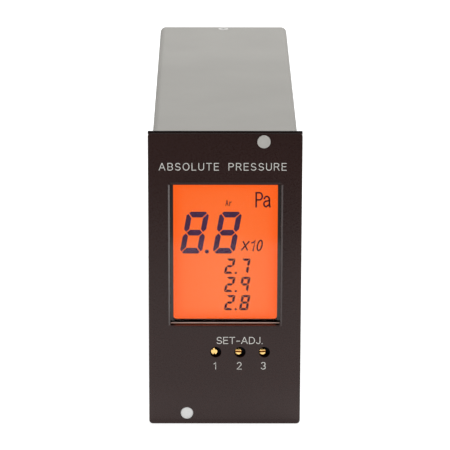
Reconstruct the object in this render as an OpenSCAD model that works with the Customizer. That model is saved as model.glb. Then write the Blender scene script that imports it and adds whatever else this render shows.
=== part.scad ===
// Panel-mounted display unit of a vacuum gauge: an upright moulded front with a lit
// display and three trimmers, on a long sheet-metal case with its sockets at the rear.
// Millimetres. X to the right, Y into the panel, Z up. The origin is the middle of the
// flange's rear face, which seats on the panel that the unit is fitted in.

/* [Front] */
// Width of the front
front_w = 48; // [48:0.5:60]
// Height of the front
front_h = 96; // [96:0.5:116]
// Thickness of the moulded front panel
panel_t = 2; // [1.8:0.1:3]
// Corner radius of the front panel
panel_corner_r = 1.2; // [0.8:0.1:2.5]
// Bevel along the front panel's edge
panel_bevel = 0.15; // [0.1:0.05:0.7]
// Thickness of the flange behind the front panel
flange_t = 0.8; // [0.6:0.1:2]
// How far the front stands past the case at each side
side_lip = 1.3; // [1:0.1:1.8]
// How far the front stands past the case at the top and the bottom
end_lip = 2.2; // [1.5:0.1:3]

/* [Case] */
// Length of the case from the panel's plane to its rear end
case_len = 150; // [148:1:200]
// Wall of the sheet sleeve
case_wall = 1; // [0.6:0.1:1.3]
// Outer corner radius of the sleeve
case_corner_r = 2; // [1.5:0.1:4]
// Step on the frame that the sleeve's front end meets
land_t = 0.4; // [0.2:0.1:1]
// Wall of the frame's spigot inside the sleeve
spigot_wall = 1.4; // [0.8:0.1:1.8]
// Clearance between the sleeve and what slides into it
sleeve_gap = 0.15; // [0.05:0.05:0.3]
// Shank radius of a countersunk case screw
case_screw_r = 1; // [0.8:0.1:1.3]
// Head radius of a countersunk case screw
case_screw_head_r = 1.8; // [1.5:0.1:2.2]
// Length of a countersunk case screw
case_screw_len = 5; // [4:0.5:6]

/* [Window] */
// Width of the front beside the window opening
window_side = 6.75; // [6.5:0.25:12]
// Height of the window opening
window_h = 46.2; // [36:0.2:52]
// How far the window's middle lies to the right of the front's middle
window_x = 0.15; // [-0.5:0.05:0.5]
// Height of the window's middle above the front's middle
window_z = 8.4; // [4:0.1:14]
// Corner radius of the window opening
window_corner_r = 0.3; // [0.2:0.1:3]
// Width of the raised rim round the window
rim_w = 0.65; // [0.6:0.05:1.5]
// Height of the raised rim
rim_h = 0.5; // [0.1:0.05:0.7]
// Corner radius of the raised rim, outside
rim_corner_r = 0.8; // [0.8:0.1:3]
// How far the pane reaches past the window opening
pane_lap = 1; // [0.6:0.1:1.4]

/* [Display] */
// Width of the dark border beside and below the lit area
border_w = 0.9; // [0.5:0.1:2]
// Width of the dark border above the lit area
border_top = 0.1; // [0:0.1:2]
// Thickness of the holder's front lip
holder_lip_t = 0.6; // [0.4:0.1:1]
// Wall of the holder
holder_wall = 1.1; // [0.8:0.1:1.3]
// How far the display glass reaches past the lit area
lcd_lap = 1.6; // [1:0.1:2]
// Thickness of the display glass
lcd_t = 2.2; // [1.4:0.1:3]
// Distance of the display board behind the panel's plane
display_board_y = 8; // [7:0.5:12]
// Thickness of every circuit board
board_t = 1.6; // [0.8:0.1:2]
// Thickness of a rubber contact strip
strip_t = 2.2; // [1.5:0.1:3]
// Width of a backlight lamp
led_w = 1.8; // [1:0.1:2.4]
// Radius of a board screw's shank
board_screw_r = 1; // [0.8:0.1:1.3]
// Length of a board screw's shank
board_screw_len = 6; // [4:0.5:8]

/* [Trimmers] */
// Sideways place of the middle trimmer's screw
trimmer_x = 4.3; // [2:0.1:6]
// Height of the trimmer screws, below the front's middle
trimmer_drop = 23.8; // [22.5:0.1:28]
// Spacing of the trimmers
trimmer_pitch = 7.65; // [6.5:0.05:8.5]
// Radius of a trimmer screw's head
trimmer_head_r = 1; // [0.9:0.05:1.2]
// Radius of a trimmer screw's neck inside its body
trimmer_neck_r = 0.75; // [0.5:0.05:0.8]
// How far a trimmer screw's head lies behind the front face
trimmer_sink = 0.7; // [0.5:0.1:1.6]
// Width of the screwdriver slot in a trimmer screw
trimmer_slot_w = 0.55; // [0.3:0.05:0.7]
// Depth of the screwdriver slot in a trimmer screw
trimmer_slot_depth = 0.45; // [0.3:0.05:0.8]
// Turn of the first trimmer screw's slot from upright
slot_turn_1 = 175; // [0:1:180]
// Turn of the second trimmer screw's slot from upright
slot_turn_2 = 94; // [0:1:180]
// Turn of the third trimmer screw's slot from upright
slot_turn_3 = 86; // [0:1:180]
// How far the front panel's middle trimmer hole lies to the right of its screw
trimmer_hole_shift = 0.56; // [0:0.02:0.6]
// How much further apart the front panel's trimmer holes lie than the screws
trimmer_hole_spread = 0.05; // [0:0.01:0.2]
// Least gap between a trimmer screw's head and the edge of its hole
trimmer_hole_gap = 0.17; // [0.1:0.01:0.4]
// Width of a trimmer's body
trimmer_w = 4.8; // [4:0.1:5.5]
// Height of a trimmer's body
trimmer_h = 7; // [6:0.1:9]
// Running clearance round a trimmer screw
running_gap = 0.05; // [0.02:0.01:0.1]

/* [Front pins] */
// Distance of the pins from the front's middle line
pin_x = 12; // [8:0.5:18]
// Distance of the upper pin below the front's top edge
upper_pin_edge = 2.7; // [2.6:0.1:4]
// Distance of the lower pin above the front's bottom edge
lower_pin_edge = 3.5; // [2.6:0.1:4]
// Radius of a pin's head
pin_head_r = 2.05; // [1.5:0.05:2.2]
// Thickness of a pin's head
pin_head_t = 0.8; // [0.5:0.1:1]
// Radius of a pin's shank
pin_shank_r = 1; // [0.6:0.1:1.2]
// How far the upper pin's head stands in front of the panel
upper_pin_proud = 0.4; // [0.1:0.1:0.6]
// How far the lower pin's head lies behind the panel's face
lower_pin_sink = 0.3; // [0:0.1:0.8]

/* [Rear panel] */
// Depth of the rear panel inside the sleeve
rear_t = 5; // [4.4:0.1:8]
// Thickness of the rear panel's web
rear_web = 2; // [1.5:0.1:2.5]
// Thickness of the rear panel's rim
rear_rim = 2.6; // [2:0.1:3]
// Width of the boss that takes a case screw
rear_boss_w = 8; // [6:0.5:10]
// Height of the boss that takes a case screw
rear_boss_h = 5.5; // [5:0.5:6]

/* [Boards] */
// Distance of the long boards from the sleeve's side walls
board_inset = 3.5; // [2:0.1:4]
// Gap between the long boards' edges and the sleeve
board_edge_gap = 2; // [1:0.1:3]
// Reach of the plug-on links between the boards
link_len = 8.5; // [6:0.5:10]
// Thickness of a link
link_t = 2.5; // [2:0.1:4]
// Height of a link
link_h = 40; // [20:1:50]
// How far a link overlaps its long board
link_overlap = 5; // [3:0.5:8]

/* [Sockets] */
// Distance of the sockets' middle from the main board's face
socket_rise = 6.9; // [6.6:0.1:8]
// Width of a socket's flange
socket_flange_w = 12.5; // [12:0.1:13]
// Thickness of a socket's flange
socket_flange_t = 0.8; // [0.5:0.1:1]
// How far a socket's flange reaches past the middle of its jack posts
socket_flange_end = 2.9; // [2.5:0.1:3.5]
// Spacing of the sensor socket's jack posts
sensor_post_pitch = 25; // [24.5:0.1:25.5]
// Height of the sensor socket's shell
sensor_shell_h = 16.3; // [15.5:0.1:16.6]
// Spacing of the signal socket's jack posts
signal_post_pitch = 33.3; // [33:0.1:34]
// Height of the signal socket's shell
signal_shell_h = 24.6; // [24:0.1:25]
// Share of the rear panel's spare height that lies beyond each socket
socket_edge_share = 0.36; // [0.3:0.01:0.45]
// Width of a socket's shell
shell_w = 7.9; // [7.6:0.1:8.4]
// Corner radius of a socket's shell
shell_r = 2.2; // [1.5:0.1:2.6]
// Sheet thickness of a socket's shell
shell_t = 0.4; // [0.3:0.05:0.6]
// How far a socket's shell stands out of its flange
shell_len = 5.9; // [5:0.1:7]
// Spacing of the contacts in a row
contact_pitch = 2.77; // [2.6:0.01:2.8]
// Spacing of the two rows of contacts
contact_row = 2.84; // [2.6:0.01:2.9]
// Outer radius of a contact sleeve
contact_r = 0.75; // [0.6:0.05:0.85]
// Bore radius of a contact sleeve
contact_bore_r = 0.5; // [0.3:0.05:0.5]
// Length of a contact sleeve
contact_len = 7; // [5:0.5:9]
// Length of a jack post's hexagon
post_len = 5; // [4:0.5:6]
// Width across a jack post's corners
post_w = 5.4; // [5:0.1:5.8]
// Radius of the thread hole in a jack post
post_hole_r = 1.2; // [1:0.05:1.3]
// Radius of a jack post's stud
post_stud_r = 1.35; // [1:0.05:1.4]

/* [Terminals] */
// Spacing of the power terminals
terminal_pitch = 9.5; // [8:0.1:10]
// Depth of the terminal block across the panel
terminal_w = 13; // [11:0.5:14]
// How far the terminal block's barriers stand out of the rear panel
terminal_reach = 7.5; // [6:0.5:9]
// Thickness of a barrier between terminals
barrier_t = 1.2; // [0.8:0.1:1.6]
// Head radius of a terminal screw
terminal_head_r = 2.7; // [2:0.1:2.9]
// Shank radius of a terminal screw
terminal_screw_r = 1.5; // [1:0.1:1.6]
// Distance of the terminal block's middle from the power board's lower edge
terminal_edge = 24.8; // [20:0.2:32]

/* [Hidden] */
$fn = 64;

// A cut runs this far past the face that it opens
cut = 1;
// Fixed parts lie this far apart where they slide together
fit_gap = 0.1;
// A screw lies this far from the hole that its thread would cut into
thread_gap = 0.03;
// Slanted sides lie this far inside the corner circles that they run into
outline_seam = 0.01;

// Front
panel_front = -flange_t - panel_t;
panel_back = -flange_t;
case_w = front_w - 2 * side_lip;
case_h = front_h - 2 * end_lip;
case_in_w = case_w - 2 * case_wall;
case_in_h = case_h - 2 * case_wall;
case_in_r = case_corner_r - case_wall;
plug_w = case_in_w - 2 * sleeve_gap;
plug_h = case_in_h - 2 * sleeve_gap;
plug_r = case_in_r - sleeve_gap;
spigot_in_w = plug_w - 2 * spigot_wall;
spigot_in_h = plug_h - 2 * spigot_wall;
upper_pin_z = front_h / 2 - upper_pin_edge;
lower_pin_z = lower_pin_edge - front_h / 2;
upper_pin_front = panel_front - upper_pin_proud;
lower_pin_front = panel_front + lower_pin_sink;
pin_end_gap = 0.1;
flange_corner_r = 0.2;

// Window and display
window_w = front_w - 2 * window_side;
pane_w = window_w + 2 * pane_lap;
pane_h = window_h + 2 * pane_lap;
lit_w = window_w - 2 * border_w;
lit_h = window_h - border_w - border_top;
lit_rise = (border_w - border_top) / 2;
lit_z = window_z + lit_rise;
lit_corner_r = 1;
lcd_w = lit_w + 2 * lcd_lap;
lcd_h = lit_h + 2 * lcd_lap;
lcd_front = land_t + holder_lip_t;
lcd_back = lcd_front + lcd_t;
holder_w = max(pane_w, lcd_w) + 2 * holder_wall;
holder_h = max(pane_h, lcd_h + 2 * abs(lit_rise)) + 2 * holder_wall;
led_l = 3;
led_h = 2.6;
led_z = 12;
strip_end_gap = 2;
strip_l = lcd_w - 2 * strip_end_gap;
backlight_w = lcd_w - 2 * (led_w + 2 * fit_gap);
backlight_h = lcd_h - 2 * (strip_t + 2 * fit_gap);
boss_r = 2.3;
boss_overlap = 0.2;
boss_x = spigot_in_w / 2 - boss_r;
boss_z = spigot_in_h / 2 - boss_r;
board_screw_head_r = 1.8 * board_screw_r;
board_screw_head_t = 1.2;
display_board_w = plug_w - 2 * fit_gap;
display_board_h = plug_h - 2 * fit_gap;
display_board_back = display_board_y + board_t;

// Trimmers
trimmer_z = -trimmer_drop;
trimmer_head_front = panel_front + trimmer_sink;
trimmer_body_front = -0.2;
trimmer_head_back = trimmer_body_front - fit_gap;
trimmer_neck_short = 3;
trimmer_neck_end = display_board_y - trimmer_neck_short;
trimmer_hole_r = trimmer_head_r + trimmer_hole_shift + trimmer_hole_spread + trimmer_hole_gap;
trimmer_above = 1.9;
trimmer_bay = 0.5;
function trimmer_at(i) = trimmer_x + (i - 2) * trimmer_pitch;

// Rear
rear_front = case_len - rear_t;
rear_web_front = case_len - rear_web;
rear_in_w = plug_w - 2 * rear_rim;
rear_in_h = plug_h - 2 * rear_rim;
case_screw_y = case_len - rear_t / 2;
case_screw_cone = case_screw_head_r - case_screw_r;

// Long boards
board_face = case_in_w / 2 - board_inset - board_t;
board_h = case_in_h - 2 * board_edge_gap;
board_front = display_board_back + link_len;
board_end_gap = 0.5;
board_rear = rear_front - board_end_gap;
link_z = 12;

// Sockets
socket_x = socket_rise - board_face;
sensor_flange_h = sensor_post_pitch + 2 * socket_flange_end;
signal_flange_h = signal_post_pitch + 2 * socket_flange_end;
sensor_ways = 9;
signal_ways = 15;
socket_spare = rear_in_h - sensor_flange_h - signal_flange_h;
socket_edge = rear_in_h / 2 - socket_edge_share * socket_spare;
sensor_z = socket_edge - sensor_flange_h / 2;
signal_z = signal_flange_h / 2 - socket_edge;
socket_flange_r = 1;
socket_flange_front = rear_web_front - socket_flange_t;
shell_end = rear_web_front + shell_len;
shell_in_w = shell_w - 2 * shell_t;
shell_in_r = shell_r - shell_t;
insulator_sunk = 0.4;
insulator_end = shell_end - insulator_sunk;
insulator_len = 9;
insulator_back = socket_flange_front - insulator_len;
insulator_side = 1.6;
insulator_wall = 1;
contact_sunk = 0.3;
contact_end = insulator_end - contact_sunk;
contact_floor = 1;
contact_start = contact_end - contact_len;
shell_slant = 10;
post_end = case_len + post_len;
post_hole_depth = 4;
post_stud_past = 1.5;
post_stud_end = socket_flange_front - post_stud_past;
post_clear = 0.1;

// Terminals
terminal_count = 3;
terminal_h = terminal_count * terminal_pitch + barrier_t;
terminal_z = terminal_edge - board_h / 2;
terminal_lift = 1.5;
terminal_floor = case_len + terminal_lift;
terminal_end = case_len + terminal_reach;
terminal_depth = 6;
terminal_start = rear_front - terminal_depth;
terminal_wall = 1.2;
terminal_wall_short = 2;
terminal_plate_t = 1;
terminal_plate_w = 6.4;
terminal_head_t = 2;
terminal_screw_len = 7;
terminal_mid = board_face - terminal_w / 2;
function terminal_at(i) = terminal_z + (i - 2) * terminal_pitch;

// Chips and relays on the main board
chip_w = 22;
chip_t = 3.2;
chip_lift = 0.4;
chip_lead = 0.8;
chip_from_front = 38;
chip_edge = 24.8;
chip_y = board_front + chip_from_front;
chip_z = board_h / 2 - chip_edge;
amplifier_l = 10;
amplifier_w = 6.4;
amplifier_t = 3.4;
amplifier_from_front = 60;
amplifier_y = board_front + amplifier_from_front;
amplifier_step = 12;
relay_l = 20;
relay_w = 10;
relay_t = 12;
relay_clear = 2.4;
relay_step = 13;

// Power supply
core_leg = 7;
core_side = 4;
core_window = 4.5;
core_l = 34;
core_stack = 16;
core_h = core_leg + 2 * core_side + 2 * core_window;
core_lift = 1.5;
core_from_front = 30;
core_edge = 22.8;
core_y = board_front + core_from_front;
core_z = core_edge - board_h / 2;
core_x = board_face - core_lift - core_h / 2;
coil_end_gap = 0.3;
coil_side_gap = 0.4;
coil_l = core_l - 2 * (core_side + coil_end_gap);
coil_wall = core_window - coil_side_gap;
capacitor_r = 8;
capacitor_clear = 7.8;
capacitor_l = 2 * board_face - capacitor_clear;
capacitor_from_front = 64;
capacitor_edge = 22.8;
capacitor_y = board_front + capacitor_from_front;
capacitor_step = 17;
capacitor_z = capacitor_edge - board_h / 2;
relay_y = capacitor_y + capacitor_r + relay_clear + relay_l / 2;
regulator_l = 15;
regulator_w = 10;
regulator_t = 4.4;
supply_edge = 16.8;
supply_z = board_h / 2 - supply_edge;
heatsink_from_front = 30;
heatsink_y = board_front + heatsink_from_front;
heatsink_l = 22;
heatsink_base = 3;
heatsink_fin_t = 1.2;
heatsink_fins = 6;
heatsink_fin_h = 9;
heatsink_h = 24;
rectifier_l = 12;
rectifier_t = 8;
rectifier_from_front = 62;
rectifier_y = board_front + rectifier_from_front;
fuse_r = 2.5;
fuse_l = 20;
fuse_cap_l = 5;
fuse_lift = 5;
fuse_from_rear = 32;
fuse_tube_r = 2.3;
fuse_tube_inset = 1;
fuse_y = board_rear - fuse_from_rear;
clip_l = 4;
clip_t = 0.6;
clip_mouth = 1.4 * fuse_r;

// Outlines and simple bodies that several pieces share

// Rectangle with round corners
module rounded(w, h, r) {
  square([w - 2 * r, h], center = true);
  square([w, h - 2 * r], center = true);
  for (x = [-1, 1], y = [-1, 1])
    translate([x * (w / 2 - r), y * (h / 2 - r)]) circle(r);
}

// Outline drawn in X and Z, reaching from one Y to another
module along(y0, y1) {
  translate([0, y1, 0]) rotate([90, 0, 0]) linear_extrude(y1 - y0) children();
}

// Upright plate with round corners
module slab(w, h, r, y0, y1) {
  along(y0, y1) rounded(w, h, r);
}

// Block between two corners
module block(a, b) {
  translate(a) cube(b - a);
}

// Round bar along Y
module rod(r, y0, y1) {
  translate([0, y0, 0]) rotate([-90, 0, 0]) cylinder(r = r, h = y1 - y0);
}

// Upright plate whose front edge is bevelled all round
module bevelled(w, h, r, bevel, y0, y1) {
  slab(w, h, r, y0 + bevel, y1);
  translate([r - w / 2, 0, 0]) rotate([90, 0, 90]) linear_extrude(w - 2 * r)
    polygon([[y0, bevel - h / 2], [y0, h / 2 - bevel], [y0 + bevel, h / 2], [y0 + bevel, -h / 2]]);
  translate([0, 0, r - h / 2]) linear_extrude(h - 2 * r)
    polygon([[bevel - w / 2, y0], [w / 2 - bevel, y0], [w / 2, y0 + bevel], [-w / 2, y0 + bevel]]);
  for (x = [-1, 1], z = [-1, 1])
    translate([x * (w / 2 - r), y0, z * (h / 2 - r)])
      rotate([-90, 0, 0]) cylinder(r1 = r - bevel, r2 = r, h = bevel);
}

// Pieces of the front

module front_panel() {
  color("#3d312f") difference() {
    union() {
      bevelled(front_w, front_h, panel_corner_r, panel_bevel, panel_front, panel_back);
      translate([window_x, 0, window_z])
        bevelled(window_w + 2 * rim_w, window_h + 2 * rim_w, rim_corner_r, rim_h,
                 panel_front - rim_h, panel_front + panel_t / 2);
    }
    translate([window_x, 0, window_z])
      slab(window_w, window_h, window_corner_r, panel_front - rim_h - cut, panel_back + cut);
    for (i = [1:3])
      translate([trimmer_at(i) + trimmer_hole_shift + (i - 2) * trimmer_hole_spread, 0, trimmer_z])
        rod(trimmer_hole_r, panel_front - cut, panel_back + cut);
    pin_hole(pin_x, upper_pin_z, upper_pin_front);
    pin_hole(-pin_x, lower_pin_z, lower_pin_front);
  }
}

// Stepped hole that a front pin is pressed into
module pin_hole(x, z, head_front) {
  translate([x, 0, z]) {
    rod(pin_head_r + thread_gap, panel_front - cut, head_front + pin_head_t);
    rod(pin_shank_r + thread_gap, panel_front, -pin_end_gap);
  }
}

module front_frame() {
  color("#1c1a19") difference() {
    union() {
      slab(front_w, front_h, flange_corner_r, panel_back, 0);
      slab(case_w, case_h, case_corner_r, -flange_t / 2, land_t);
      difference() {
        slab(plug_w, plug_h, plug_r, 0, display_board_y);
        along(land_t, display_board_y + cut) square([spigot_in_w, spigot_in_h], center = true);
      }
      for (x = [-1, 1], z = [-1, 1])
        translate([x * boss_x, 0, z * boss_z]) boss(x, z);
    }
    translate([window_x, 0, window_z])
      slab(pane_w + 2 * fit_gap, pane_h + 2 * fit_gap, window_corner_r, panel_back - cut, land_t + cut);
    block([trimmer_at(1) - trimmer_w / 2 - trimmer_bay, panel_back - cut,
           trimmer_z + trimmer_above - trimmer_h - trimmer_bay],
          [trimmer_at(3) + trimmer_w / 2 + trimmer_bay, land_t + cut,
           trimmer_z + trimmer_above + trimmer_bay]);
    for (x = [-1, 1], z = [-1, 1])
      translate([x * boss_x, 0, z * boss_z])
        rod(board_screw_r + thread_gap, display_board_back - board_screw_len - cut, display_board_y + cut);
    pin_hole(pin_x, upper_pin_z, upper_pin_front);
    pin_hole(-pin_x, lower_pin_z, lower_pin_front);
  }
}

// Screw boss in a corner of the spigot, joined to both of its walls
module boss(x, z) {
  rod(boss_r, 0, display_board_y);
  along(0, display_board_y) {
    translate([x * boss_r / 2, 0]) square([boss_r + boss_overlap, 2 * boss_r], center = true);
    translate([0, z * boss_r / 2]) square([2 * boss_r, boss_r + boss_overlap], center = true);
  }
}

// Grey pin with a flat bevelled head
module front_pin(x, z, head_front) {
  bevel = 0.12;
  color("#b4b3ae") translate([x, 0, z]) {
    translate([0, head_front, 0]) rotate([-90, 0, 0])
      cylinder(r1 = pin_head_r - bevel, r2 = pin_head_r, h = bevel);
    rod(pin_head_r, head_front + bevel, head_front + pin_head_t);
    rod(pin_shank_r, head_front + bevel, -pin_end_gap);
  }
}

module front_pin_upper() {
  front_pin(pin_x, upper_pin_z, upper_pin_front);
}

module front_pin_lower() {
  front_pin(-pin_x, lower_pin_z, lower_pin_front);
}

// Pieces of the display

module window_pane() {
  color("#dfe6e8", 0.4) translate([window_x, 0, window_z])
    slab(pane_w, pane_h, window_corner_r, panel_back, land_t);
}

module lcd_holder() {
  color("#141414") difference() {
    translate([window_x, 0, window_z]) slab(holder_w, holder_h, window_corner_r, land_t, display_board_y);
    translate([window_x, 0, lit_z]) {
      slab(lit_w, lit_h, lit_corner_r, land_t - cut, display_board_y + cut);
      along(lcd_front, display_board_y + cut)
        square([lcd_w + 2 * fit_gap, lcd_h + 2 * fit_gap], center = true);
    }
  }
}

module lcd_glass() {
  color("#ff7030") translate([window_x, 0, lit_z])
    along(lcd_front, lcd_back) square([lcd_w, lcd_h], center = true);
}

module backlight_block() {
  color("#f4efe6") translate([window_x, 0, lit_z])
    along(lcd_back, display_board_y) square([backlight_w, backlight_h], center = true);
}

module backlight_leds() {
  color("#ffb04a") translate([window_x, 0, lit_z])
    for (x = [-1, 1], z = [-1, 1])
      translate([x * (lcd_w - led_w) / 2, 0, z * led_z])
        along(display_board_y - led_h, display_board_y) square([led_w, led_l], center = true);
}

module lcd_contact_strips() {
  color("#8c8478") translate([window_x, 0, lit_z])
    for (z = [-1, 1])
      translate([0, 0, z * (lcd_h - strip_t) / 2])
        along(lcd_back, display_board_y) square([strip_l, strip_t], center = true);
}

module display_board() {
  color("#2e6b3c") difference() {
    slab(display_board_w, display_board_h, plug_r, display_board_y, display_board_back);
    for (x = [-1, 1], z = [-1, 1])
      translate([x * boss_x, 0, z * boss_z])
        rod(board_screw_r + fit_gap, display_board_y - cut, display_board_back + cut);
  }
}

module display_board_screws() {
  color("#b9bbbd") for (x = [-1, 1], z = [-1, 1])
    translate([x * boss_x, 0, z * boss_z]) {
      rod(board_screw_r, display_board_back - board_screw_len, display_board_back);
      rod(board_screw_head_r, display_board_back, display_board_back + board_screw_head_t);
    }
}

// Trimmers

// Moulded trimmer body, bored for its screw, with two feet on the board
module trimmer_body(i) {
  foot = 0.5;
  foot_w = 1.2;
  color("#20242a") translate([trimmer_at(i), 0, trimmer_z]) difference() {
    union() {
      block([-trimmer_w / 2, trimmer_body_front, trimmer_above - trimmer_h],
            [trimmer_w / 2, display_board_y - foot, trimmer_above]);
      for (z = [trimmer_above - foot_w, trimmer_above - trimmer_h])
        block([-trimmer_w / 2, display_board_y - 2 * foot, z],
              [trimmer_w / 2, display_board_y, z + foot_w]);
    }
    rod(trimmer_neck_r + running_gap, trimmer_body_front - cut, trimmer_neck_end + fit_gap);
  }
}

// Brass adjusting screw with its slot turned from upright by an angle
module trimmer_screw(i, turn) {
  color("#b5873c") translate([trimmer_at(i), 0, trimmer_z]) difference() {
    union() {
      rod(trimmer_head_r, trimmer_head_front, trimmer_head_back);
      rod(trimmer_neck_r, trimmer_head_front + trimmer_slot_depth, trimmer_neck_end);
    }
    rotate([0, turn, 0])
      block([-trimmer_slot_w / 2, trimmer_head_front - cut, -trimmer_head_r - cut],
            [trimmer_slot_w / 2, trimmer_head_front + trimmer_slot_depth, trimmer_head_r + cut]);
  }
}

module trimmer_body_1() { trimmer_body(1); }
module trimmer_body_2() { trimmer_body(2); }
module trimmer_body_3() { trimmer_body(3); }
module trimmer_screw_1() { trimmer_screw(1, slot_turn_1); }
module trimmer_screw_2() { trimmer_screw(2, slot_turn_2); }
module trimmer_screw_3() { trimmer_screw(3, slot_turn_3); }

// Case

module case_sleeve() {
  color("#afaca7") difference() {
    slab(case_w, case_h, case_corner_r, land_t, case_len);
    slab(case_in_w, case_in_h, case_in_r, land_t - cut, case_len + cut);
    for (side = [0, 180]) rotate([0, side, 0])
      translate([0, case_screw_y, case_h / 2]) countersink(thread_gap, cut);
  }
}

// Countersunk screw, head up, or the hole for it, whose cone runs on past the sheet's face
module countersink(gap, past) {
  cone = case_screw_cone + past;
  translate([0, 0, -case_screw_cone])
    cylinder(r1 = case_screw_r + gap, r2 = case_screw_r + gap + cone, h = cone);
  translate([0, 0, -case_screw_len]) cylinder(r = case_screw_r + gap, h = case_screw_len);
}

module case_screws() {
  color("#d6d5d0") for (side = [0, 180]) rotate([0, side, 0])
    translate([0, case_screw_y, case_h / 2]) countersink(0, 0);
}

module rear_panel() {
  color("#3a3b3d") difference() {
    union() {
      difference() {
        slab(plug_w, plug_h, plug_r, rear_front, case_len);
        along(rear_front - cut, rear_web_front) square([rear_in_w, rear_in_h], center = true);
      }
      for (z = [-1, 1])
        translate([0, 0, z * (plug_h - rear_boss_h) / 2])
          along(rear_front, case_len) square([rear_boss_w, rear_boss_h], center = true);
    }
    for (side = [0, 180]) rotate([0, side, 0])
      translate([0, case_screw_y, case_h / 2]) countersink(thread_gap, cut);
    socket_cut(sensor_z, sensor_shell_h, sensor_post_pitch);
    socket_cut(signal_z, signal_shell_h, signal_post_pitch);
    block([board_face - terminal_w - fit_gap, rear_front, terminal_z - terminal_h / 2 - fit_gap],
          [board_face + fit_gap, case_len + cut, terminal_z + terminal_h / 2 + fit_gap]);
  }
}

// Cut-out for a socket's shell and its two jack posts
module socket_cut(z, shell_h, post_pitch) {
  translate([socket_x, 0, z]) {
    along(rear_front, case_len + cut)
      socket_outline(shell_h + 2 * fit_gap, shell_w + 2 * fit_gap, shell_r + fit_gap);
    for (side = [-1, 1])
      translate([0, 0, side * post_pitch / 2]) rod(post_stud_r + post_clear, rear_front, case_len + cut);
  }
}

// Boards

module main_board() {
  color("#2e6b3c") block([-board_face - board_t, board_front, -board_h / 2],
                         [-board_face, board_rear, board_h / 2]);
}

module power_board() {
  color("#2e6b3c") block([board_face, board_front, -board_h / 2],
                         [board_face + board_t, board_rear, board_h / 2]);
}

// Plug-on link from the display board to a long board
module link(x0, x1) {
  color("#202225") block([x0, display_board_back, link_z - link_h / 2],
                         [x1, board_front + link_overlap, link_z + link_h / 2]);
}

module main_link() {
  link(-board_face, link_t - board_face);
}

module power_link() {
  link(board_face - link_t, board_face);
}

// Main board's parts

module processor_chip() {
  color("#26282a") {
    block([-board_face + chip_lift, chip_y - chip_w / 2, chip_z - chip_w / 2],
          [-board_face + chip_t, chip_y + chip_w / 2, chip_z + chip_w / 2]);
    block([-board_face, chip_y - chip_w / 2 - chip_lead, chip_z - chip_w / 2 - chip_lead],
          [-board_face + chip_lead, chip_y + chip_w / 2 + chip_lead, chip_z + chip_w / 2 + chip_lead]);
  }
}

module amplifier_chips() {
  color("#26282a") for (i = [-1:1])
    translate([-board_face, amplifier_y, i * amplifier_step])
      block([0, -amplifier_l / 2, -amplifier_w / 2], [amplifier_t, amplifier_l / 2, amplifier_w / 2]);
}

module relay(i) {
  color("#e8e4d8") translate([-board_face, relay_y, (i - 2) * relay_step])
    block([0, -relay_l / 2, -relay_w / 2], [relay_t, relay_l / 2, relay_w / 2]);
}

module relay_1() { relay(1); }
module relay_2() { relay(2); }
module relay_3() { relay(3); }

// Power supply

// Laminated core with two windows round its middle leg
module transformer_core() {
  color("#4a4d50") translate([core_x, core_y, core_z]) linear_extrude(core_stack, center = true)
    difference() {
      square([core_h, core_l], center = true);
      for (side = [-1, 1])
        translate([side * (core_leg + core_window) / 2, 0])
          square([core_window, core_l - 2 * core_side], center = true);
    }
}

// Winding on its former, with feet on the board beside the core
module transformer_coil() {
  side_gap = 0.2;
  leg_w = core_leg + 2 * side_gap;
  leg_h = core_stack + 2 * side_gap;
  coil_w = core_leg + 2 * coil_wall;
  coil_h = core_stack + 2 * coil_wall;
  color("#a8622e") translate([core_x, core_y, core_z]) difference() {
    union() {
      along(-coil_l / 2, coil_l / 2) square([coil_w, coil_h], center = true);
      for (z = [-1, 1])
        translate([0, 0, z * (coil_h + leg_h) / 4])
          block([0, -coil_l / 2, (leg_h - coil_h) / 4],
                [board_face - core_x, coil_l / 2, (coil_h - leg_h) / 4]);
    }
    along(-coil_l, coil_l) square([leg_w, leg_h], center = true);
  }
}

module rectifier() {
  color("#26282a") translate([board_face, rectifier_y, supply_z])
    block([-rectifier_t, -rectifier_l / 2, -rectifier_l / 2], [0, rectifier_l / 2, rectifier_l / 2]);
}

module smoothing_capacitors() {
  color("#2b3f66") for (side = [-1, 1])
    translate([board_face - capacitor_l, capacitor_y, capacitor_z + side * capacitor_step / 2])
      rotate([0, 90, 0]) cylinder(r = capacitor_r, h = capacitor_l);
}

module regulator() {
  color("#26282a") translate([board_face, heatsink_y, supply_z])
    block([-regulator_l, -regulator_t, -regulator_w / 2], [0, 0, regulator_w / 2]);
}

// Finned extrusion that the regulator lies against
module regulator_heatsink() {
  fin_step = (heatsink_h - heatsink_fin_t) / (heatsink_fins - 1);
  color("#5c6063") translate([board_face - heatsink_l, heatsink_y, supply_z])
    rotate([90, 0, 90]) linear_extrude(heatsink_l) {
      translate([heatsink_base / 2, 0]) square([heatsink_base, heatsink_h], center = true);
      for (i = [0:heatsink_fins - 1])
        translate([0, i * fin_step - heatsink_h / 2])
          square([heatsink_base + heatsink_fin_h, heatsink_fin_t]);
    }
}

module fuse() {
  color("#d8d8d2") translate([board_face - fuse_lift, fuse_y, supply_z]) {
    rod(fuse_tube_r, fuse_tube_inset - fuse_l / 2, fuse_l / 2 - fuse_tube_inset);
    for (y = [-fuse_l / 2, fuse_l / 2 - fuse_cap_l]) rod(fuse_r, y, y + fuse_cap_l);
  }
}

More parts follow.
